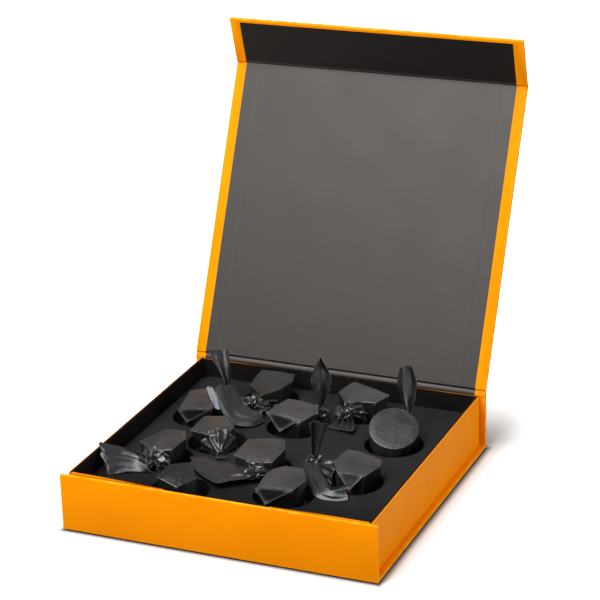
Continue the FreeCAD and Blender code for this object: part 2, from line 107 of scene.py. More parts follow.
# Level directions towards the viewer and across the view
TILT_TOWARDS = Vector((0.39, -0.92))
ACROSS_VIEW = (0.92, 0.39, 0.0)

# The pralines in millimetres and degrees:
# at: the middle; top: the height of the folded top there; tilt: its lean towards the viewer
# corners: the top's outline about the middle; radius: that of the round one
# paper: the sort of paper, where it isn't the smooth one
# fold: the triangle folded down from the top, as the number of its first corner and its tip from the foot
PRALINES = {
    "a": {"at": (-75, 36), "top": 39.3, "tilt": 9, "fold": (0, (-4, -16, 12.5)),
          "corners": ((-9, -19), (13, -10), (10, 9), (1, 16), (-11, 7))},
    "b": {"at": (-40, 77), "top": 40.0, "tilt": 5, "paper": CRUMPLED,
          "corners": ((-13, -8), (2, -18), (11, -8), (14, 7), (11, 18), (-13, 14))},
    "c": {"at": (29, 78), "top": 40.3, "tilt": 6,
          "corners": ((-17, -3), (-8, -13), (13, -9), (18, 6), (-12, 16))},
    "d": {"at": (68, 36), "top": 38.0, "tilt": 24, "radius": 17, "paper": LOOSE},
    "e": {"at": (-47, 1), "top": 38.9, "tilt": 6,
          "corners": ((-15, -11), (3, -15), (12, -9), (12, 3), (1, 12), (-12, 7))},
    "f": {"at": (-6, 41), "top": 39.3, "tilt": 8, "fold": (0, (-6, -14, 12.5)),
          "corners": ((-18, -10), (8, -14), (17, 1), (12, 12), (-11, 13))},
    "g": {"at": (-70, -35), "top": 39.3, "tilt": 8,
          "corners": ((-14, -6), (-2, -14), (11, -9), (13, 9), (8, 19), (-5, 15))},
    "h": {"at": (-1, -28), "top": 39.8, "tilt": 8,
          "corners": ((-16, -10), (-2, -15), (12, -10), (14, 8), (9, 18), (-14, 10))},
    "i": {"at": (-39, -75), "top": 39.7, "tilt": 4, "paper": CRUMPLED,
          "corners": ((-11, -11), (6, -16), (14, -3), (3, 13), (-10, 6))},
    "j": {"at": (28, -59), "top": 38.6, "tilt": 10, "fold": (0, (-6, -17, 11.5)),
          "corners": ((-13, -17), (11, -12), (15, 2), (7, 16), (-5, 15), (-13, 3))},
    "k": {"at": (63, -26), "top": 39.3, "tilt": 8, "fold": (1, (3, -16, 12.5)),
          "corners": ((-14, 0), (-6, -13), (12, -11), (18, 3), (15, 12), (-11, 18))},
}

# Twisted ends, in millimetres from the praline's foot and in degrees:
# neck: where the paper is drawn together; root: width and height of the folds that run into it
# knots: crumpled bundles at the neck, each its middle and half its extents
# end, edge: middle of a fan's cut edge and the way that edge runs; widths: at shares of the way there
# pleats, depth, twist, arch: a fan's folds, their depth, its turn at the neck and its bow; upright: it stands
# rows, rise: outer and inner points of a loose sheet's rows, and its swell between them
# and the rows of a pale strip along its edge, a painted highlight, where that shows
# hold: the height that stays when the lid presses a loose sheet, where it isn't the deck's
TAILS = {
    "a": {"neck": (13, 23, 18.5), "root": (18, 12), "upright": True,
          "end": (2, 27, 51), "edge": ACROSS_VIEW, "widths": ((0.2, 3.5), (0.35, 5), (1, 15)),
          "pleats": 2, "depth": 1.3, "twist": 200, "arch": 2},
    "b": {"neck": (-4, -24, 18), "root": (27, 20),
          "knots": (((-5, -24, 18), (6, 5, 5)), ((4, -24, 16), (5, 4, 4))),
          "rise": 1.5, "hold": 24.5,
          "rows": (((-29.5, -31, 29.5), (-20, -18, 26)), ((-18.5, -47.5, 21.5), (-14, -23, 23)),
                   ((-6, -55, 14), (-8, -28, 20)), ((7, -49, 13), (0, -32, 17)),
                   ((11, -38, 13), (6, -31, 17))),
          "edge_highlight": (((-33.5, -33, 30.5), (-29.5, -31, 29.5)), ((-28, -40.5, 26.5), (-24, -39.5, 25.5)),
                  ((-21.5, -47.5, 22), (-18.5, -47.5, 21.5)))},
    "c": {"neck": (-5, -18, 18.5), "root": (26, 21), "knots": (((-6, -20, 18), (6, 6, 5)),),
          "end": (-3, -36, 13.7), "edge": (0.97, -0.2, 0.1), "widths": ((0.2, 11), (0.5, 19), (1, 22)),
          "pleats": 4, "depth": 3.2, "twist": 40, "arch": 2},
    "d": {"neck": (4.4, 19, 18), "root": (14, 8), "upright": True,
          "end": (0.4, 23, 59.7), "edge": ACROSS_VIEW, "widths": ((0.2, 3), (0.45, 10), (0.7, 14), (1, 8)),
          "pleats": 1, "depth": 3.0, "twist": 160, "arch": -3},
    "e": {"neck": (12, -22, 13.8), "root": (28, 26),
          "end": (15, -27, 13), "edge": (0.87, 0.5, 0), "widths": ((0.5, 6), (1, 9)),
          "pleats": 3, "depth": 1, "twist": 60, "arch": 0},
    "f": {"neck": (15, 12, 18.5), "root": (14, 9), "upright": True, "knots": (((17, 10, 18), (4, 4, 6)),),
          "end": (13.5, 14, 59), "edge": ACROSS_VIEW,
          "widths": ((0.15, 3), (0.45, 11), (0.6, 15), (0.75, 12), (1, 1.5)),
          "pleats": 1, "depth": 3.4, "twist": 180, "arch": 2},
    "g": {"neck": (-3, -18, 16.7), "root": (31, 22),
          "knots": (((-3, -18, 17), (6, 5, 5)), ((6, -16, 16), (6, 5, 6))),
          "rise": 2,
          "rows": (((-34, -26, 29.5), (-28, -33, 17)), ((-30, -23, 27.5), (-22.5, -38, 12.5)),
                   ((-23.5, -17.5, 24), (-16, -32, 12.5)), ((-13, -15.5, 20), (-6.5, -26.5, 12.5)),
                   ((-5, -17, 18), (3, -26, 13)))},
    "h": {"neck": (2, -19.5, 16.7), "root": (27, 20), "knots": (((2, -20, 17), (5, 4, 4)),),
          "rise": 1.5,
          "rows": (((-48, -8, 17), (-42, -21, 16)), ((-38, -7.5, 17), (-27, -32, 16)),
                   ((-29, -9, 17), (-14, -41, 16)), ((-21, -8, 17), (-8, -33, 16)),
                   ((-13, -9.5, 17), (-1, -29, 16)), ((-4, -13, 17), (3, -22, 15)))},
    "k": {"neck": (-29, 3, 19), "root": (30, 20), "upright": True, "knots": (((-29, 2, 18), (5, 5, 6)),),
          "end": (-25, 5, 48), "edge": ACROSS_VIEW, "widths": ((0.2, 4.5), (0.4, 6), (1, 13)),
          "pleats": 1, "depth": -3.6, "twist": 140, "arch": -1,
          "rise": 0.5,
          "rows": (((-36, 5, 20), (-27, 6, 22)), ((-32, -9, 18), (-20, -9, 21)),
                   ((-24, -19, 16), (-12, -19, 20)), ((-14, -31, 13), (-6, -26, 18)),
                   ((-3, -32, 12), (-1, -24, 18)), ((7, -29, 12), (3, -20, 19)))},
}


def maths(operation, swapped=False):
    """An operator of a wire: a method that adds a Math node."""

    def method(wire, other=0.0):
        first, second = (other, wire) if swapped else (wire, other)
        return wire.finish.node("ShaderNodeMath", {"operation": operation}, {0: first, 1: second})

    return method


class Wire:
    """A socket of a finish, with arithmetic that adds the nodes it needs."""

    def __init__(self, finish, socket):
        self.finish = finish
        self.socket = socket

    __add__ = maths("ADD")
    __radd__ = maths("ADD", swapped=True)
    __sub__ = maths("SUBTRACT")
    __rsub__ = maths("SUBTRACT", swapped=True)
    __mul__ = maths("MULTIPLY")
    __rmul__ = maths("MULTIPLY", swapped=True)
    __gt__ = maths("GREATER_THAN")
    __lt__ = maths("LESS_THAN")
    __abs__ = maths("ABSOLUTE")
    most = maths("MAXIMUM")


class Finish:
    """A material or a world while it is wired up."""

    def __init__(self, name, store=bpy.data.materials):
        self.made = store.new(name)
        self.made.use_nodes = True
        self.tree = self.made.node_tree
        self.tree.nodes.clear()

    def node(self, kind, settings=None, inputs=None, outlets=(0,)):
        """Adds a node, sets it up, fills its sockets and gives its outlets as wires."""
        made = self.tree.nodes.new(kind)
        for key, value in (settings or {}).items():
            setattr(made, key, value)
        for key, value in (inputs or {}).items():
            if isinstance(value, Wire):
                self.tree.links.new(value.socket, made.inputs[key])
            else:
                made.inputs[key].default_value = value
        wires = [Wire(self, made.outputs[key]) for key in outlets]
        return wires[0] if len(wires) == 1 else wires

    def place(self, matrix=None):
        """The piece's own coordinates, or those of a panel laid flat."""
        raw = self.node("ShaderNodeTexCoord", outlets=("Object",))
        if matrix is None:
            return raw
        flat = matrix.inverted()
        inputs = {"Vector": raw, "Location": flat.translation, "Rotation": flat.to_euler()}
        return self.node("ShaderNodeMapping", None, inputs)

    def axes(self, place):
        """The three coordinates of a place or the three parts of a direction."""
        return self.node("ShaderNodeSeparateXYZ", None, {0: place}, ("X", "Y", "Z"))

    def cloud(self, place, scale, detail=2.0):
        """Noise with so many waves to the metre."""
        return self.node("ShaderNodeTexNoise", None, {"Vector": place, "Scale": scale, "Detail": detail})

    def cracks(self, place, scale):
        """The distance to the nearest line of a random network."""
        settings = {"feature": "DISTANCE_TO_EDGE"}
        return self.node("ShaderNodeTexVoronoi", settings, {"Vector": place, "Scale": scale})

    def ramp(self, value, low, high, start=0.0, end=1.0):
        """A value moved from one range to another, smoothly and held at its ends."""
        settings = {"interpolation_type": "SMOOTHSTEP"}
        return self.node("ShaderNodeMapRange", settings, {0: value, 1: low, 2: high, 3: start, 4: end})

    def tint(self, share, first, second):
        """A colour between two others."""
        return self.node("ShaderNodeMix", {"data_type": "RGBA"}, {0: share, 6: first, 7: second}, (2,))

    def relief(self, height, depth):
        """A bumped normal, for a height that spans the depth in metres."""
        return self.node("ShaderNodeBump", None, {"Height": height, "Distance": depth, "Strength": 1.0})

    def surface(self, colour, roughness, normal=None, **fixed):
        """Closes the finish with its shader and returns the material."""
        inputs = {"Base Color": colour, "Roughness": roughness}
        if normal is not None:
            inputs["Normal"] = normal
        for key, value in fixed.items():
            inputs[key.replace("_", " ")] = value
        shader = self.node("ShaderNodeBsdfPrincipled", None, inputs)
        self.node("ShaderNodeOutputMaterial", None, {"Surface": shader}, ())
        return self.made


# Colours as linear shares of red, green and blue
WHITE = (1, 1, 1, 1)
ORANGE = (0.93, 0.285, 0.0, 1)
ORANGE_DEEP = (0.89, 0.262, 0.0, 1)
ORANGE_WORN = (0.98, 0.42, 0.03, 1)
BLACK = (0.0085, 0.0072, 0.0064, 1)
BLACK_SOFT = (0.0125, 0.0108, 0.0098, 1)
LINING_GLOSS = (1.0, 0.93, 0.88, 1)
TRAY_BLACK = (0.008, 0.008, 0.0085, 1)
TRAY_DUSTY = (0.014, 0.0135, 0.0135, 1)
# the deck's painted shadow by the front panel
TRAY_PAINTED_SHADOW = (0.001, 0.001, 0.001, 1)
# painted shade in the hollows of the waxed paper
WAX_PAINTED_SHADE = (0.006, 0.006, 0.006, 1)
WAX_DARK = (0.012, 0.011, 0.0105, 1)
# pale cut edge of the waxed paper, also a painted highlight
CUT_GREY = (0.10, 0.11, 0.12, 1)
CUT_PALE = (0.22, 0.24, 0.27, 1)

# How far the wear of the outer paper reaches in from the panels' sides and ends
WORN_SIDE = 0.0009
WORN_END = 0.0008

# Where the turned-in paper ends below a lining, from the middle
STEP_START = 0.0912
STEP_END = 0.0926

# Gloss of the linings, and the depth of the step below the lid's
LINING_SHINE = 0.10
LID_SHINE = 0.5
LID_STEP = 0.8

# How far out the black paper on top of a side wall reaches, where a gusset's top turns orange,
# and how deep the top's colour goes
WALL_BLACK = 0.1053
GUSSET_BLACK = 0.045
GUSSET_ORANGE = 0.090
TOP_SKIN = 0.0001

# Where the painted shadow of the front panel on the deck is darkest, and where it ends
DECK_SHADOW_DARKEST = -0.085
DECK_SHADOW_END = -0.03


def orange_colour(finish, place):
    """Printed paper: an even orange with faint clouds and fibres."""
    clouds = finish.cloud(place, scale=22.0)
    fibres = finish.cloud(place, scale=900.0, detail=4.0)
    share = finish.ramp(clouds * 0.8 + fibres * 0.2, low=0.35, high=0.65)
    return finish.tint(share, ORANGE, ORANGE_DEEP), fibres


def orange_paper(name, matrix, start, end):
    """The case's outer paper, a little worn along the panel's edges."""
    finish = Finish(name)
    place = finish.place(matrix)
    across, along, _ = finish.axes(place)
    colour, fibres = orange_colour(finish, place)
    side = finish.ramp(abs(across), low=CASE_WIDTH / 2 - WORN_SIDE, high=CASE_WIDTH / 2)
    near = finish.ramp(along, low=start + WORN_END, high=start)
    far = finish.ramp(along, low=end - WORN_END, high=end)
    rubbed = finish.ramp(finish.cloud(place, scale=160.0, detail=3.0), low=0.42, high=0.62)
    wear = side.most(near).most(far) * rubbed * 0.55
    grain = finish.cloud(place, scale=2600.0)
    normal = finish.relief(grain * 0.7 + fibres * 0.3, depth=0.00003)
    rough = 0.40 + fibres * 0.12 + wear * 0.2
    worn = finish.tint(wear, colour, ORANGE_WORN)
    return finish.surface(worn, rough, normal, Specular_IOR_Level=0.03)


def lining_paper(name, matrix, step_depth=0.0, shine=LINING_SHINE):
    """Black laminated lining with a soft grain; the turned-in paper below it shows as a faint step."""
    finish = Finish(name)
    place = finish.place(matrix)
    across, _, _ = finish.axes(place)
    clouds = finish.cloud(place, scale=34.0, detail=3.0)
    grain = finish.cloud(place, scale=700.0, detail=3.0)
    drawn_out = finish.node("ShaderNodeMapping", None, {"Vector": place, "Scale": (240.0, 9.0, 1.0)})
    streaks = finish.cloud(drawn_out, scale=1.0, detail=3.0)
    step = finish.ramp(abs(across), low=STEP_START, high=STEP_END)
    height = grain * 0.25 + clouds * 0.5 + streaks * 0.4 + step * step_depth
    normal = finish.relief(height, depth=0.00012)
    rough = 0.36 + clouds * 0.12 + grain * 0.06
    colour = finish.tint(clouds, BLACK, BLACK_SOFT)
    return finish.surface(colour, rough, normal, Specular_IOR_Level=shine, Specular_Tint=LINING_GLOSS)


def edged_board(name, outwards=None, edge=0.0):
    """Orange outside, black inside: side walls, or gussets whose outer side faces Y times outwards."""
    finish = Finish(name)
    place = finish.place()
    across, _, height = finish.axes(place)
    colour, fibres = orange_colour(finish, place)
    clouds = finish.cloud(place, scale=40.0, detail=3.0)
    dark = finish.tint(clouds, BLACK, BLACK_SOFT)
    top = height > WALL_HEIGHT - TOP_SKIN
    if outwards is None:
        black = top * (abs(across) < WALL_BLACK)
    else:
        facing = finish.axes(finish.node("ShaderNodeNewGeometry", outlets=("Normal",)))
        outside = facing[1] * outwards > 0.5
        orange_top = top * edge * finish.ramp(abs(across), low=GUSSET_BLACK, high=GUSSET_ORANGE)
        black = 1 - outside.most(orange_top)
    rough = 0.42 + fibres * 0.12
    normal = finish.relief(finish.cloud(place, scale=2200.0), depth=0.00003)
    return finish.surface(finish.tint(black, colour, dark), rough, normal, Specular_IOR_Level=0.03)


def tray_sheet():
    """Formed black sheet with a fine matte grain and dusty mottling, darkened towards the front by a painted
    shadow of the front panel.
    """
    finish = Finish("tray_sheet")
    place = finish.place()
    grain = finish.cloud(place, scale=1500.0, detail=3.0)
    clouds = finish.cloud(place, scale=28.0)
    dusty = finish.tint(clouds, TRAY_BLACK, TRAY_DUSTY)
    _, along, _ = finish.axes(place)
    # painted shadow of the front panel: the deck darkens towards the front
    colour = finish.tint(finish.ramp(along, low=DECK_SHADOW_DARKEST, high=DECK_SHADOW_END), TRAY_PAINTED_SHADOW, dusty)
    normal = finish.relief(grain, depth=0.00006)
    return finish.surface(colour, 0.52 + clouds * 0.14, normal, Specular_IOR_Level=0.25)


def waxed_paper(name, flat, steep, folded, rough, shine):
    """Black waxed paper: satin, with painted light: a lit tone on faces that point up, a shaded one on steep
    faces, a painted highlight on fold crests and painted shade in its hollows.
    """
    finish = Finish(name)
    bend, facing = finish.node("ShaderNodeNewGeometry", outlets=("Pointiness", "Normal"))
    painted_top_light = finish.ramp(finish.axes(facing)[2], low=0.15, high=0.85)
    painted_ridge_highlight = finish.ramp(bend, low=0.515, high=0.60)
    painted_hollow_shade = finish.ramp(bend, low=0.49, high=0.41)
    place = finish.place()
    clouds = finish.cloud(place, scale=120.0, detail=3.0)
    drift = finish.node("ShaderNodeTexNoise", None, {"Vector": place, "Scale": 90.0}, ("Color",))
    drift_reach = (0.006, 0.006, 0.006)
    bent = finish.node(
        "ShaderNodeVectorMath", {"operation": "MULTIPLY_ADD"}, {0: drift, 1: drift_reach, 2: place})
    crease = finish.ramp(finish.cracks(bent, scale=190.0), low=0.0, high=0.09, start=1.0, end=0.0)
    fine = finish.ramp(finish.cracks(bent, scale=520.0), low=0.0, high=0.12, start=1.0, end=0.0)
    fibre = finish.cloud(place, scale=1400.0, detail=3.0)
    height = crease * 0.16 + fine * 0.05 + clouds * 0.6 + fibre * 0.06
    normal = finish.relief(height, depth=0.00016)
    # painted light: faces that point up take the lit tone, steep ones the shaded tone, fold crests a painted
    # highlight
    sheet = finish.tint(painted_ridge_highlight, finish.tint(painted_top_light, steep, flat), folded)
    # painted shade in the hollows
    shaded = finish.tint(painted_hollow_shade, sheet, WAX_PAINTED_SHADE)
    patches = finish.ramp(finish.cloud(place, scale=55.0), low=0.40, high=0.68)
    colour = finish.tint(patches * 0.45, shaded, WAX_DARK)
    mottled = rough + clouds * 0.14 + fibre * 0.05
    return finish.surface(colour, mottled, normal, Specular_IOR_Level=shine)


def cut_edge_and_highlight():
    """The pale cut edge of the waxed paper, also laid on as a painted highlight on folds' thick rims and
    along a loose sheet's edge.
    """
    finish = Finish("cut_edge_and_highlight")
    fibre = finish.cloud(finish.place(), scale=900.0, detail=3.0)
    return finish.surface(finish.tint(fibre, CUT_GREY, CUT_PALE), 0.5 + fibre * 0.2)


def waxed_papers():
    """The sorts of waxed paper, in the order of their numbers: one paper, in copies with painted light of
    their own.
    """
    # flat and steep: painted lit and shaded tones of the paper; folded: the painted highlight on fold crests
    steep = (0.010, 0.0095, 0.009, 1)
    smooth_paper = waxed_paper(
        "waxed_paper", flat=(0.041, 0.0385, 0.0365, 1), steep=steep, folded=(0.14, 0.131, 0.126, 1),
        rough=0.22, shine=0.7)
    crumpled_paper = waxed_paper(
        "crumpled_paper", flat=(0.016, 0.015, 0.014, 1), steep=steep, folded=(0.06, 0.057, 0.054, 1),
        rough=0.19, shine=0.7)
    loose_paper = waxed_paper(
        "loose_paper", flat=(0.024, 0.024, 0.0242, 1), steep=(0.016, 0.016, 0.0162, 1),
        folded=(0.032, 0.032, 0.0322, 1), rough=0.22, shine=0.5)
    return smooth_paper, crumpled_paper, loose_paper, cut_edge_and_highlight()


def plain_stuff(name, first, second, scale, rough, metallic=0.0):
    """A simple grained finish for what the papers hide."""
    finish = Finish(name)
    grain = finish.cloud(finish.place(), scale, detail=4.0)
    normal = finish.relief(grain, depth=0.00005)
    return finish.surface(finish.tint(grain, first, second), rough + grain * 0.1, normal, Metallic=metallic)


def select_none():
    """Closes the piece that is open for editing, if one is, and selects nothing."""
    if bpy.context.object and bpy.context.object.mode != "OBJECT":
        bpy.ops.object.mode_set(mode="OBJECT")
    bpy.ops.object.select_all(action="DESELECT")


def only(piece):
    """Makes a piece the one that the operators act on."""
    select_none()
    piece.select_set(True)
    bpy.context.view_layer.objects.active = piece


def pick(piece, wanted, kind="VERT"):
    """Opens a piece for editing, with the points or faces selected that wanted says yes to."""
    only(piece)
    mesh = piece.data
    for group in (mesh.vertices, mesh.edges, mesh.polygons):
        group.foreach_set("select", [False] * len(group))
    for part in mesh.polygons if kind == "FACE" else mesh.vertices:
        part.select = bool(wanted(part))
    bpy.context.tool_settings.mesh_select_mode = (kind == "VERT", False, kind == "FACE")
    bpy.ops.object.mode_set(mode="EDIT")


def start(name, add, **settings):
    """A new primitive at the origin, open for editing with all of it selected."""
    select_none()
    add(location=(0, 0, 0), **settings)
    piece = bpy.context.object
    piece.name = name
    piece.data.name = name
    bpy.ops.object.mode_set(mode="EDIT")
    bpy.ops.mesh.select_all(action="SELECT")
    return piece


def grid(name, columns, rows):
    """A new flat sheet of side 1, open for editing."""
    return start(name, bpy.ops.mesh.primitive_grid_add, x_subdivisions=columns, y_subdivisions=rows, size=1)


def shake(offset, seed):
    """Moves the selected points about at random, by up to an offset."""
    bpy.ops.transform.vertex_random(offset=offset, uniform=1.0, normal=0.0, seed=seed)


def press(piece, kind, **settings):
    """Adds a modifier, sets it up and applies it."""
    only(piece)
    modifier = piece.modifiers.new(kind.lower(), kind)
    for key, value in settings.items():
        setattr(modifier, key, value)
    bpy.ops.object.modifier_apply(modifier=modifier.name)


def smooth(piece, angle):
    """Shades a piece smooth where its faces meet at less than an angle in degrees."""
    only(piece)
    bpy.ops.object.shade_smooth_by_angle(angle=math.radians(angle))


def settle(piece, matrix):
    """Moves a piece's mesh to its place, so that its object stays at the origin."""
    only(piece)
    piece.data.transform(matrix)
    piece.data.update()


def join(piece, others):
    """Makes other pieces a part of one."""
    only(piece)
    for other in others:
        other.select_set(True)
    bpy.ops.object.join()


def sculpt(piece, move):
    """Moves each point of a piece by what move gives for its place and normal."""
    moved = [point.co + move(point.co, point.normal) for point in piece.data.vertices]
    for point, place in zip(piece.data.vertices, moved):
        point.co = place
    piece.data.update()


def axes_at(first, second, third, origin):
    """The matrix that takes X, Y and Z to three vectors that start from an origin."""
    matrix = Matrix((first, second, third)).transposed().to_4x4()
    matrix.translation = origin
    return matrix


def dress(node, material):
    """Gives a solid that stays its finish."""
    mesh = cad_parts[node].data
    mesh.materials.clear()
    mesh.materials.append(material)


# Rounding of the panels' edges and of the paper strips' edges
PANEL_ROUND = 0.00035
STRIP_ROUND = 0.00008


def papered_panel(name, begin, end, far_border, matrix):
    """A wrapped board with rounded edges, its lining's place sunk between the turned-in edges."""
    piece = start(f"{name}_case_paper", bpy.ops.mesh.primitive_cube_add, size=1)
    length = end - begin
    bpy.ops.transform.resize(value=(CASE_WIDTH, length, PANEL))
    bpy.ops.transform.translate(value=(0, (begin + end) / 2, PANEL / 2))
    pick(piece, lambda face: face.normal.z > 0.9, "FACE")
    bpy.ops.mesh.inset(thickness=EDGE_BORDER)
    across = (CASE_WIDTH - 2 * TURN_IN) / (CASE_WIDTH - 2 * EDGE_BORDER)
    along = (length - EDGE_BORDER - far_border) / (length - 2 * EDGE_BORDER)
    bpy.ops.transform.resize(value=(across, along, 1), center_override=(0, begin + EDGE_BORDER, PANEL))
    bpy.ops.mesh.extrude_region_move(TRANSFORM_OT_translate={"value": (0, 0, -PAPER)})
    press(piece, "BEVEL", width=PANEL_ROUND, segments=3, limit_method="ANGLE", angle_limit=math.radians(40))
    smooth(piece, 35)
    settle(piece, matrix)
    piece.data.materials.append(orange_paper(f"{name}_orange", matrix, begin, end))
    return piece


def strip(name, path, material, ends):
    """A strip of paper across the case along a path in the middle plane, its ends in the outer paper."""
    rows = len(path) - 1
    columns = 8
    piece = grid(name, columns, rows)
    bpy.ops.transform.resize(value=(CASE_WIDTH, 1, 1))
    inner = CASE_WIDTH / 2 - TURN_IN
    for side in (-1, 1):
        old = side * CASE_WIDTH * (0.5 - 1 / columns)
        pick(piece, lambda point: abs(point.co.x - old) < NEAR)
        bpy.ops.transform.translate(value=(side * inner - old, 0, 0))
    for number, (y, z) in enumerate(path):
        old = number / rows - 0.5
        pick(piece, lambda point: abs(point.co.y - old) < NEAR and abs(point.co.z) < NO_HEIGHT)
        bpy.ops.transform.translate(value=(0, y - old, z))
    press(piece, "SOLIDIFY", thickness=PAPER, offset=0)
    press(piece, "BEVEL", width=STRIP_ROUND, segments=2, limit_method="ANGLE", angle_limit=math.radians(60))
    smooth(piece, 50)
    piece.data.materials.append(material)
    piece.data.materials.append(ends)
    for face in piece.data.polygons:
        face.material_index = int(abs(face.center.x) > inner)
    return piece


def on_panel(matrix, points):
    """Points given along a panel and inwards from its outer face, as Y and Z in the frame of the solids."""
    return [tuple((matrix @ Vector((0, along, inwards)))[1:]) for along, inwards in points]


def make_case():
    """The five papered panels of the case, and the finishes of their linings."""
    panels = {
        "base": (PANEL, CASE_DEPTH, EDGE_BORDER, BASE_PLACE, "carton"),
        "front": (0, FRONT_HEIGHT, EDGE_BORDER, FRONT_PLACE, "carton"),
        "spine": (PANEL, WALL_HEIGHT, EDGE_BORDER, SPINE_PLACE, "carton"),
        "lid": (LID_START, LID_END, EDGE_BORDER, LID_PLACE, "lid"),
        "flap": (FLAP_START, FLAP_END, TIP_BORDER, FLAP_PLACE, "flap"),
    }
    for name, (begin, end, far_border, matrix, body) in panels.items():
        piece = papered_panel(name, begin, end, far_border, matrix)
        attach(piece, body)
        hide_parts(f"{name}_wrap")
        step_depth, shine = (LID_STEP, LID_SHINE) if name == "lid" else (0.0, LINING_SHINE)
        dress(f"{name}_lining", lining_paper(f"{name}_lining_paper", matrix, step_depth, shine))


# How far in from a panel's outer face the middles of the outer and of the inner paper lie
OUTER_SKIN = 0.00015
INNER_SKIN = 0.00265


def make_hinges():
    """The outer paper and the black inner paper of the two folds that move."""
    orange = orange_paper("fold_orange", Matrix.Identity(4), -1, 1)
    black = lining_paper("fold_lining", Matrix.Identity(4), shine=LID_SHINE)
    lid_outer = on_panel(SPINE_PLACE, [(0.0390, OUTER_SKIN), (0.0402, OUTER_SKIN), (0.0412, 0.00018)])
    lid_outer += on_panel(LID_PLACE, [(0.0001, 0.0003), (0.0006, 0.0002), (0.0012, OUTER_SKIN)])
    lid_inner = on_panel(
        SPINE_PLACE, [(0.0388, 0.00255), (0.0395, 0.0027), (0.0400, 0.0026), (0.0424, 0.0015)])
    lid_inner += on_panel(
        LID_PLACE, [(0.0002, 0.0012), (0.00075, 0.0018), (0.0009, 0.0025), (0.0018, INNER_SKIN)])
    flap_outer = on_panel(LID_PLACE, [(LID_END - 0.0004, OUTER_SKIN), (LID_END + 0.0002, 0.0002)])
    flap_outer += on_panel(FLAP_PLACE, [(0.0002, 0.0002), (0.0012, OUTER_SKIN), (0.0030, OUTER_SKIN)])
    flap_inner = on_panel(LID_PLACE, [(LID_END - 0.0009, INNER_SKIN), (LID_END + 0.0002, 0.0024)])
    flap_inner += on_panel(FLAP_PLACE, [(0.0021, 0.0017), (0.0025, 0.0024), (0.0037, INNER_SKIN)])
    for node, outer, inner in (("lid_crease", lid_outer, lid_inner), ("flap_crease", flap_outer, flap_inner)):
        for label, path, material, slot in (
            ("paper", outer, orange, "orange_paper"),
            ("lining", inner, black, "black_paper"),
        ):
            piece = strip(f"{node}_{label}", path, material, orange)
            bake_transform(piece)
            if label == "paper":
                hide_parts(node)


def dress_solids():
    """Finishes of the solids that stay as they are."""
    board = plain_stuff("greyboard", (0.20, 0.18, 0.15, 1), (0.42, 0.39, 0.34, 1), scale=600.0, rough=0.8)
    steel = plain_stuff(
        "steel_disc", (0.45, 0.45, 0.46, 1), (0.62, 0.62, 0.62, 1), scale=400.0, rough=0.3, metallic=1.0)
    tape = plain_stuff("tape", (0.72, 0.70, 0.62, 1), (0.80, 0.78, 0.70, 1), scale=300.0, rough=0.4)
    chocolate = plain_stuff(
        "chocolate", (0.040, 0.016, 0.008, 1), (0.075, 0.030, 0.014, 1), scale=150.0, rough=0.32)
    wall = edged_board("wall_board")
    gussets = {
        "front": edged_board("front_gusset_board", outwards=-1.0, edge=0.8),
        "back": edged_board("back_gusset_board", outwards=1.0, edge=0.25),
    }
    lining = lining_paper("wall_lining_paper", Matrix.Identity(4))
    dress("insert_tray", tray_sheet())
    for name in ("base", "front", "spine", "lid", "flap"):
        dress(f"{name}_board", board)
    dress("catch_plates", steel)
    dress("flap_magnets", steel)
    dress("gusset_tapes", tape)
    for side in ("left", "right"):
        dress(f"{side}_wall", wall)
        dress(f"{side}_wall_lining", lining)
        for end, gusset in gussets.items():
            dress(f"{side}_{end}_gusset", gusset)
    for letter in PRALINES:
        dress(f"chocolate_{letter}", chocolate)


def seed_of(letter):
    """A seed of its own for each praline."""
    return ord(letter) - ord("a") + 1


def foot_of(letter):
    """The middle of a praline's foot."""
    across, back = PRALINES[letter]["at"]
    return Vector((across * MM, back * MM, SEAT))


def top_height(letter, spot):
    """Height of a wrapped top over a spot measured from the praline's middle."""
    praline = PRALINES[letter]
    return praline["top"] * MM - math.tan(math.radians(praline["tilt"])) * TILT_TOWARDS.dot(spot)


# Corners that a round top is drawn with
DISC_CORNERS = 12


def top_corners(letter):
    """The outline of a wrapped top about the praline's middle."""
    praline = PRALINES[letter]
    if "radius" in praline:
        angles = [2 * math.pi * number / DISC_CORNERS for number in range(DISC_CORNERS)]
        return [Vector((math.cos(angle), math.sin(angle))) * praline["radius"] * MM for angle in angles]
    return [Vector(corner) * MM for corner in praline["corners"]]


# Folding of a wrapped body: share of the top's reach that is left at the waist, unevenness below it,
# border and crown of the top, and cuts for the finer folds
WAIST_SHARE = 0.96
BODY_UNEVEN = 0.8 * MM
TOP_BORDER = 4 * MM
TOP_CROWN = 0.25 * MM
FINE_CUTS = 9


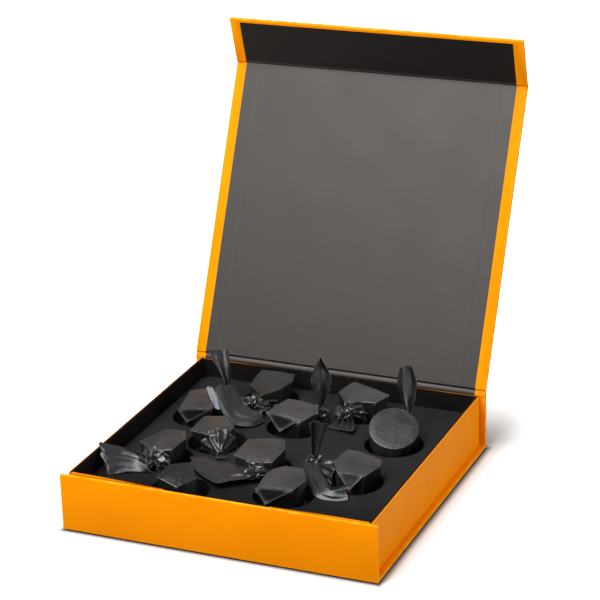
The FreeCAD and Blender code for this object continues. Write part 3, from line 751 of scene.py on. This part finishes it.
def fold_drum(letter):
    """The wrapped body: a flat polygon top, and sides that fold inwards in triangles down to the foot."""
    corners = top_corners(letter)
    praline = PRALINES[letter]
    round_top = "radius" in praline
    sides = len(corners)
    piece = start(
        f"wrapper_{letter}_paper", bpy.ops.mesh.primitive_cylinder_add, vertices=2 * sides, radius=1, depth=2)
    bpy.ops.mesh.bisect(plane_co=(0, 0, 0), plane_no=(0, 0, 1))
    foot = foot_of(letter)

    def fold(place, _):
        number = round(math.atan2(-place.x, place.y) * sides / math.pi) % (2 * sides)
        ahead = corners[((number + 1) // 2) % sides]
        spot = (corners[number // 2] + ahead) / 2
        middle = number % 2 == 1
        if round_top:
            spot = spot.normalized() * praline["radius"] * MM
        if place.z > 0.5:
            height = top_height(letter, spot)
        elif place.z > -0.5:
            reach = WAIST_SHARE * spot.length if middle or round_top else TUCK_REACH
            spot = spot.normalized() * reach
            height = WAIST
        else:
            spot = spot.normalized() * FOOT_REACH
            height = SEAT
        return Vector((foot.x + spot.x, foot.y + spot.y, height)) - place

    only(piece)
    sculpt(piece, fold)
    pick(piece, lambda point: point.co.z < WAIST + MM)
    shake(BODY_UNEVEN, seed_of(letter))
    pick(piece, lambda face: face.normal.z > 0.7 and face.center.z > WAIST + MM, "FACE")
    bpy.ops.mesh.inset(thickness=TOP_BORDER)
    bpy.ops.transform.translate(value=(0, 0, TOP_CROWN))
    bpy.ops.mesh.select_all(action="SELECT")
    bpy.ops.mesh.quads_convert_to_tris(quad_method="LONGEST_DIAGONAL", ngon_method="BEAUTY")
    bpy.ops.mesh.subdivide(number_cuts=FINE_CUTS)
    press(piece, "SMOOTH", factor=0.5, iterations=2)
    if not round_top:
        bend_top(piece, letter)
    return piece


# Bends of a top: how many, where they start in millimetres from the middle, how steep they are,
# and the height over the waist at which they reach their full drop
TOP_BENDS = 4
BEND_STARTS = (1, 8)
BEND_SLOPES = (0.04, 0.12)
BEND_RISE = 10 * MM


def bend_top(piece, letter):
    """Bends the edges of a wrapped top down along a few straight lines, as stiff paper does."""
    draw = random.Random(seed_of(letter))
    foot = foot_of(letter)
    lines = []
    for _ in range(TOP_BENDS):
        angle = draw.uniform(0, 2 * math.pi)
        way = Vector((math.cos(angle), math.sin(angle)))
        begin = draw.uniform(*BEND_STARTS) * MM
        lines.append((way, begin, draw.uniform(*BEND_SLOPES)))

    def move(place, _):
        spot = (place - foot).xy
        share = max(0.0, min(1.0, (place.z - WAIST) / BEND_RISE))
        drop = sum(slope * max(0.0, spot.dot(way) - begin) for way, begin, slope in lines)
        return Vector((0, 0, -drop * share))

    sculpt(piece, move)


# A fan's rows, its width at the neck in millimetres, the share of its length that is twisted,
# and how the pleats of one that lies down flatten towards its cut edge
FAN_ROWS = 16
NECK_WIDTH = 3.2
TWISTED_SHARE = 0.35
PLEAT_START = 1.05
PLEAT_FADE = 1.2


def fan(name, tail, foot):
    """The pleated end of a twist: a sheet that opens from its neck to its cut edge."""
    neck = foot + Vector(tail["neck"]) * MM
    end = foot + Vector(tail["end"]) * MM
    run = end - neck
    edge = Vector(tail["edge"]).normalized()
    columns = 4 * tail["pleats"]
    piece = grid(name, columns, FAN_ROWS)
    bpy.ops.transform.translate(value=(0, 0.5, 0))
    for remainder, way in ((1, 1), (3, -1)):
        pick(piece, lambda point: round((point.co.x + 0.5) * columns) % 4 == remainder)
        bpy.ops.transform.translate(value=(0, 0, way))
    widths = ((0, NECK_WIDTH),) + tail["widths"]
    for row in range(FAN_ROWS + 1):
        share = row / FAN_ROWS
        place = (0, share, 0)
        pick(piece, lambda point: abs(point.co.y - share) < NEAR)
        depth = tail["depth"] if tail.get("upright") else tail["depth"] * (PLEAT_START - share) ** PLEAT_FADE
        bpy.ops.transform.resize(value=(between(widths, share) * MM, 1, depth * MM), center_override=place)
        turn = math.radians(tail["twist"]) * max(0.0, 1 - share / TWISTED_SHARE) ** 2
        if turn:
            bpy.ops.transform.rotate(value=turn, orient_axis="Y", center_override=place)
        arch = tail["arch"] * math.sin(math.pi * share) * MM
        bpy.ops.transform.translate(value=(0, 0, arch))
    press(piece, "SUBSURF", levels=1, render_levels=1)
    settle(piece, axes_at(edge, run, edge.cross(run).normalized(), neck))
    return piece


def between(steps, share):
    """A value read off a list of shares and values."""
    for (low, first), (high, second) in zip(steps, steps[1:]):
        if share <= high:
            return first + (second - first) * (share - low) / (high - low)
    return steps[-1][1]


# Columns of a loose sheet, and its coarse and fine unevenness
SHEET_COLUMNS = 6
SHEET_UNEVEN = 0.7 * MM
SHEET_RIPPLE = 0.3 * MM


def swept_sheet(name, rows, rise, foot):
    """A loose sheet between two edges, given row by row from the praline's foot."""
    last = len(rows) - 1
    piece = grid(name, SHEET_COLUMNS, last)
    only(piece)

    def move(place, _):
        outer, inner = (Vector(edge) for edge in rows[round((place.y + 0.5) * last)])
        share = place.x + 0.5
        swell = Vector((0, 0, rise * math.sin(math.pi * share)))
        return foot + (outer.lerp(inner, share) + swell) * MM - place

    sculpt(piece, move)
    pick(piece, lambda point: True)
    shake(SHEET_UNEVEN, last)
    bpy.ops.mesh.subdivide(number_cuts=1)
    shake(SHEET_RIPPLE, last)
    press(piece, "SUBSURF", levels=2, render_levels=2, boundary_smooth="PRESERVE_CORNERS")
    return piece


def folded_triangle(name, letter):
    """The triangle of doubled paper that hangs from one edge of a wrapped top."""
    foot = foot_of(letter)
    corners = top_corners(letter)
    first, tip = PRALINES[letter]["fold"]
    points = [foot + Vector(tip) * MM]
    for corner in (corners[first], corners[(first + 1) % len(corners)]):
        points.append(Vector((foot.x + corner.x, foot.y + corner.y, top_height(letter, corner))))
    piece = start(name, bpy.ops.mesh.primitive_circle_add, vertices=3, radius=1, fill_type="NGON")
    only(piece)
    sculpt(piece, lambda place, _: points[round(math.atan2(-place.x, place.y) * 1.5 / math.pi) % 3] - place)
    pick(piece, lambda point: True)
    bpy.ops.mesh.subdivide(number_cuts=FINE_CUTS)
    return piece


# The folds at a neck: how many, how deep they go in, how uneven they are, and where they start,
# in millimetres out from the praline's middle and up from its foot
GATHER_FOLDS = 10
GATHER_IN = 0.64
GATHER_UNEVEN = 0.08
GATHER_OUT = 10
GATHER_UP = 14.5


def gather(name, letter, tail, foot):
    """The folds that draw the wrapper into its neck."""
    neck = foot + Vector(tail["neck"]) * MM
    out = Vector((tail["neck"][0], tail["neck"][1], 0)).normalized()
    root = foot + out * GATHER_OUT * MM
    root.z = foot.z + GATHER_UP * MM
    piece = start(
        name, bpy.ops.mesh.primitive_cone_add, vertices=2 * GATHER_FOLDS, radius1=1, radius2=0.2, depth=1,
        end_fill_type="NOTHING")
    bpy.ops.transform.translate(value=(0, 0, 0.5))
    for level in (0.2, 0.4, 0.6, 0.8):
        bpy.ops.mesh.select_all(action="SELECT")
        bpy.ops.mesh.bisect(plane_co=(0, 0, level), plane_no=(0, 0, 1))
    pick(piece, lambda point: round(math.atan2(point.co.x, point.co.y) * GATHER_FOLDS / math.pi) % 2 == 1)
    bpy.ops.transform.resize(value=(GATHER_IN, GATHER_IN, 1), center_override=(0, 0, 0))
    bpy.ops.mesh.select_all(action="SELECT")
    shake(GATHER_UNEVEN, seed_of(letter))
    press(piece, "SUBSURF", levels=2, render_levels=2)
    width, height = tail["root"]
    side = Vector((0, 0, 1)).cross(out) * width / 2 * MM
    rise = Vector((0, 0, 1)) * height / 2 * MM
    settle(piece, axes_at(side, rise, neck - root, root))
    return piece


# A bundle: its size, facets and the crests between them, its lumps and drift with their waves,
# the share of its faces that is kept, and the steps of its seeds
BUNDLE_SIZE = 1.05
FACETS = 1.9
CRESTS = 0.6
LUMPS = 0.45
LUMP_WAVES = 1.6
DRIFT = 0.28
DRIFT_WAVES = 2.1
FACES_KEPT = 0.4
SEED_STEP = Vector((2.3, 1.1, 0.7))
SEEDS_APART = 5

# The drift's seed, which would otherwise come from the clock
DRIFT_SEED = 1795888544


def knot(name, centre, extent, seed):
    """A crumpled bundle of paper: flat facets at all angles with sharp crests between them."""
    piece = start(name, bpy.ops.mesh.primitive_ico_sphere_add, subdivisions=4, radius=1)
    only(piece)
    shift = SEED_STEP * seed
    noise.seed_set(DRIFT_SEED)

    def move(place, _):
        near, _ = noise.voronoi(place * FACETS + shift)
        lump = LUMPS * noise.noise(place * LUMP_WAVES + shift)
        swell = BUNDLE_SIZE - CRESTS * min(1.0, near[1] - near[0]) + lump
        return place * (swell - 1) + noise.noise_vector(place * DRIFT_WAVES - shift) * DRIFT

    sculpt(piece, move)
    press(piece, "DECIMATE", ratio=FACES_KEPT)
    settle(piece, Matrix.Translation(centre) @ Matrix.Diagonal((*extent, 1)))
    return piece


# Room that loose paper keeps over the deck
DECK_ROOM = 0.15 * MM


def rest_on_deck(piece, letter):
    """Keeps loose paper outside its praline's pocket on the tray's deck."""
    foot = foot_of(letter)
    floor = DECK + DECK_ROOM

    def move(place, _):
        outside = (place - foot).xy.length > POCKET_REACH
        return Vector((0, 0, floor - place.z if outside and place.z < floor else 0))

    sculpt(piece, move)


def press_down(piece):
    """Gives paper that stands higher than the room under the closed lid a mesh of its own."""
    high = max(point.co.z for point in piece.data.vertices)
    if high > LID_ROOM:
        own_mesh(piece)


# Creases to the metre, how narrow they are, the waves and share of the softer unevenness,
# and the steps from one praline's creases to the next one's
CREASES = 150
CREASE_SHARP = 3.5
SOFT_WAVES = 220
SOFT_SHARE = 0.7
CREASE_STEPS = (3.1, 1.7)


def crumple(piece, letter, depth):
    """Creases a piece along the lines of a random network, with a little softer unevenness."""
    across, back = (seed_of(letter) * step for step in CREASE_STEPS)
    shift = Vector((across, back, 0))

    def move(place, normal):
        near, _ = noise.voronoi(place * CREASES + shift)
        crease = max(0.0, 1 - (near[1] - near[0]) * CREASE_SHARP)
        soft = noise.noise(place * SOFT_WAVES + shift)
        return normal * depth * (soft * SOFT_SHARE - crease)

    sculpt(piece, move)


# Folds that fan out from a neck over the body: how many, how far they reach, their height in millimetres,
# the pull to the neck, how both fade, how the folds waver, and a nudge off the axis
PINCH_FOLDS = 9
PINCH_REACH = 16 * MM
PINCH_HEIGHT = 1.4
PINCH_PULL = 0.45
PINCH_FADE = 1.5
WAVER = 4
WAVER_WAVES = 90
NUDGE = 1e-6


def pinch(piece, neck):
    """Draws the paper round a neck towards it, in folds that fan out from it."""
    up = Vector((0, 0, 1))

    def move(place, normal):
        away = place - neck
        if away.length > PINCH_REACH:
            return Vector((0, 0, 0))
        pull = (1 - away.length / PINCH_REACH) ** PINCH_FADE
        angle = math.atan2(away.dot(up), away.dot(normal.cross(up)) + NUDGE)
        wave = math.sin(PINCH_FOLDS * angle + WAVER * noise.noise(place * WAVER_WAVES))
        return normal * wave * PINCH_HEIGHT * MM * pull - away * PINCH_PULL * pull

    sculpt(piece, move)


def cover(piece, papers, sort):
    """Lays the waxed papers on a piece, which shows the given sort."""
    for paper in papers:
        piece.data.materials.append(paper)
    for face in piece.data.polygons:
        face.material_index = sort


# Thickness of the waxed paper and of a fold of it, whose thick pale rim shows as a painted highlight
SHEET_THICKNESS = 0.2 * MM
FOLD_THICKNESS = 0.6 * MM


def thicken(sheet, thickness=SHEET_THICKNESS):
    """Gives a sheet its thickness, with the pale cut edge round it, which on a thick fold is a painted
    highlight.
    """
    rim = CUT_AND_HIGHLIGHT - sheet.data.polygons[0].material_index
    press(sheet, "SOLIDIFY", thickness=thickness, offset=0, material_offset_rim=rim)


def finish_paper(piece, letter, depth):
    """Crumples a piece of waxed paper and smooths what is not a fold."""
    crumple(piece, letter, depth)
    smooth(piece, 32)


def let_ride(piece, letter, *nodes, hold=DECK):
    """Puts a finished piece of paper on its praline, in the place of the solids it stands for."""
    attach(piece, f"praline_{letter}")
    if nodes:
        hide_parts(*nodes)
    press_down(piece)


# Depth of the creases in upright ends, in bodies and loose sheets, and in the round body
TAIL_CREASE = 0.2 * MM
PAPER_CREASE = 0.09 * MM
DISC_CREASE = 0.03 * MM


def loose_sheet(letter, tail, papers):
    """A wrapper's loose end that sweeps over the deck, with a pale strip along its edge as painted highlight
    where it has one.
    """
    foot = foot_of(letter)
    sheet = swept_sheet(f"loose_{letter}_paper", tail["rows"], tail["rise"], foot)
    cover(sheet, papers, LOOSE)
    thicken(sheet)
    # a pale strip along the sheet's edge, as painted highlight
    if "edge_highlight" in tail:
        edge_highlight = swept_sheet(f"hem_{letter}", tail["edge_highlight"], 0, foot)
        cover(edge_highlight, papers, CUT_AND_HIGHLIGHT)
        thicken(edge_highlight)
        join(sheet, [edge_highlight])
    finish_paper(sheet, letter, PAPER_CREASE)
    rest_on_deck(sheet, letter)
    let_ride(sheet, letter, hold=SEAT + tail["hold"] * MM if "hold" in tail else DECK)


def pleated_end(letter, tail, papers):
    """A wrapper's end as a fan, to be joined to it or, where it stands upright, a piece of its own."""
    sheet = fan(f"tail_{letter}_paper", tail, foot_of(letter))
    cover(sheet, papers, LOOSE)
    thicken(sheet)
    if not tail.get("upright"):
        return [sheet]
    finish_paper(sheet, letter, TAIL_CREASE)
    let_ride(sheet, letter, f"tail_{letter}")
    return []


def twisted_end(letter, tail, wrapper, papers):
    """Pinches a wrapper to its neck and gives the folds and bundles that belong to it."""
    foot = foot_of(letter)
    pinch(wrapper, foot + Vector(tail["neck"]) * MM)
    folds = gather(f"gather_{letter}", letter, tail, foot)
    cover(folds, papers, CRUMPLED)
    thicken(folds)
    parts = [folds]
    if "end" in tail:
        parts += pleated_end(letter, tail, papers)
    if "rows" in tail:
        loose_sheet(letter, tail, papers)
    for number, values in enumerate(tail.get("knots", ())):
        middle, extent = (Vector(value) * MM for value in values)
        seed = seed_of(letter) + number * SEEDS_APART
        bundle = knot(f"knot_{letter}_{number}", foot + middle, extent, seed)
        cover(bundle, papers, CRUMPLED)
        parts.append(bundle)
    return parts


def make_pralines():
    """The waxed paper round each chocolate."""
    papers = waxed_papers()
    for letter, praline in PRALINES.items():
        wrapper = fold_drum(letter)
        cover(wrapper, papers, praline.get("paper", SMOOTH))
        parts = []
        if letter in TAILS:
            parts += twisted_end(letter, TAILS[letter], wrapper, papers)
        if "fold" in praline:
            triangle = folded_triangle(f"fold_{letter}", letter)
            cover(triangle, papers, CRUMPLED)
            # the fold's thick pale rim is a painted highlight
            thicken(triangle, FOLD_THICKNESS)
            parts.append(triangle)
        if parts:
            join(wrapper, parts)
        finish_paper(wrapper, letter, DISC_CREASE if "radius" in praline else PAPER_CREASE)
        rest_on_deck(wrapper, letter)
        let_ride(wrapper, letter, f"wrapper_{letter}")


# The floor: room under the base, which the board's slight bow leaves and which shows as a dark line,
# its side, and its colours away from the box, in the painted contact shadow along its foot and for the light
# that it throws back
FLOOR_GAP = 0.0011
FLOOR_SIZE = 12
FLOOR_WHITE = (0.9, 0.9, 0.9, 1)
FLOOR_PAINTED_SHADOW = (0.05, 0.05, 0.05, 1)
FLOOR_BOUNCE = (0.35, 0.35, 0.35, 1)

# Light from all round, as a share of the white that the camera sees
AMBIENT = 0.09

# Lamps: place, point aimed at, extents and watts
LAMPS = {
    "key": ((-0.5, -1.15, 1.45), (0, 0.05, 0.08), (1.3, 1.2), 37),
    "overhead": ((-0.3, -0.25, 1.7), (0, 0.03, 0.0), (1.2, 1.0), 24),
    "right_fill": ((1.65, 0.1, 0.45), (0, 0, 0.05), (0.9, 0.9), 13),
}

# The camera, as the case's corners in the photograph give it
CAMERA_LENS = 136.5
CAMERA_SENSOR = 36
CAMERA_PLACE = (0.5647, -1.2632, 0.6754)
CAMERA_RIGHT = (0.92153, 0.38733, -0.02756)
CAMERA_UP = (-0.11746, 0.34570, 0.93097)
CAMERA_BACK = (0.37012, -0.85467, 0.36407)


def make_floor():
    """A pale floor that fades to white away from the box, with a painted contact shadow along its foot."""
    select_none()
    bpy.ops.mesh.primitive_plane_add(size=FLOOR_SIZE, location=(0, 0, -FLOOR_GAP))
    floor = bpy.context.object
    floor.name = "floor"
    finish = Finish("floor_white")
    seen = finish.node(
        "ShaderNodeLightPath", outlets=("Is Camera Ray", "Is Glossy Ray", "Is Transmission Ray"))
    shown = seen[0].most(seen[1]).most(seen[2])
    across, along, _ = finish.axes(finish.place())
    beside = (abs(across) - CASE_WIDTH / 2).most(abs(along) - CASE_DEPTH / 2)
    # painted contact shadow: the floor darkens under the box and just beside it
    clear = finish.ramp(beside, low=-0.0015, high=0.0055)
    pale = finish.tint(shown, FLOOR_BOUNCE, finish.tint(clear, FLOOR_PAINTED_SHADOW, FLOOR_WHITE))
    matte = finish.node("ShaderNodeBsdfDiffuse", None, {"Color": pale})
    strength = seen[0] * clear * finish.ramp(beside, low=0.0, high=0.10, start=0.06, end=1.0)
    glow = finish.node("ShaderNodeEmission", None, {"Color": WHITE, "Strength": strength})
    both = finish.node("ShaderNodeAddShader", None, {0: matte, 1: glow})
    finish.node("ShaderNodeOutputMaterial", None, {"Surface": both}, ())
    floor.data.materials.append(finish.made)


def make_world():
    """White surroundings for the camera, and a dim even light for the box."""
    finish = Finish("studio", bpy.data.worlds)
    camera, through = finish.node("ShaderNodeLightPath", outlets=("Is Camera Ray", "Is Transmission Ray"))
    strength = finish.node("ShaderNodeMapRange", None, {0: camera.most(through), 3: AMBIENT, 4: 1.0})
    background = finish.node("ShaderNodeBackground", None, {"Color": WHITE, "Strength": strength})
    finish.node("ShaderNodeOutputWorld", None, {"Surface": background}, ())
    bpy.context.scene.world = finish.made


def lamp(name, place, target, extent, power):
    """A soft rectangular lamp that is aimed at a point."""
    light = bpy.data.lights.new(name, "AREA")
    light.shape = "RECTANGLE"
    light.size, light.size_y = extent
    light.energy = power
    holder = bpy.data.objects.new(name, light)
    bpy.context.scene.collection.objects.link(holder)
    holder.location = place
    holder.rotation_mode = "QUATERNION"
    holder.rotation_quaternion = (Vector(target) - Vector(place)).to_track_quat("-Z", "Y")


def make_camera():
    """The camera of the photograph."""
    view = bpy.data.cameras.new("view")
    camera = bpy.data.objects.new("view", view)
    bpy.context.scene.collection.objects.link(camera)
    view.lens = CAMERA_LENS
    view.sensor_width = CAMERA_SENSOR
    view.clip_start = 0.05
    view.clip_end = 50
    camera.matrix_world = axes_at(CAMERA_RIGHT, CAMERA_UP, CAMERA_BACK, CAMERA_PLACE)
    bpy.context.scene.camera = camera


def make_stage():
    """Floor, surroundings, lamps and camera."""
    make_floor()
    make_world()
    for name, values in LAMPS.items():
        lamp(name, *values)
    make_camera()
    bpy.context.scene.view_settings.view_transform = "Standard"


make_stage()
dress_solids()
make_case()
make_hinges()
make_pralines()
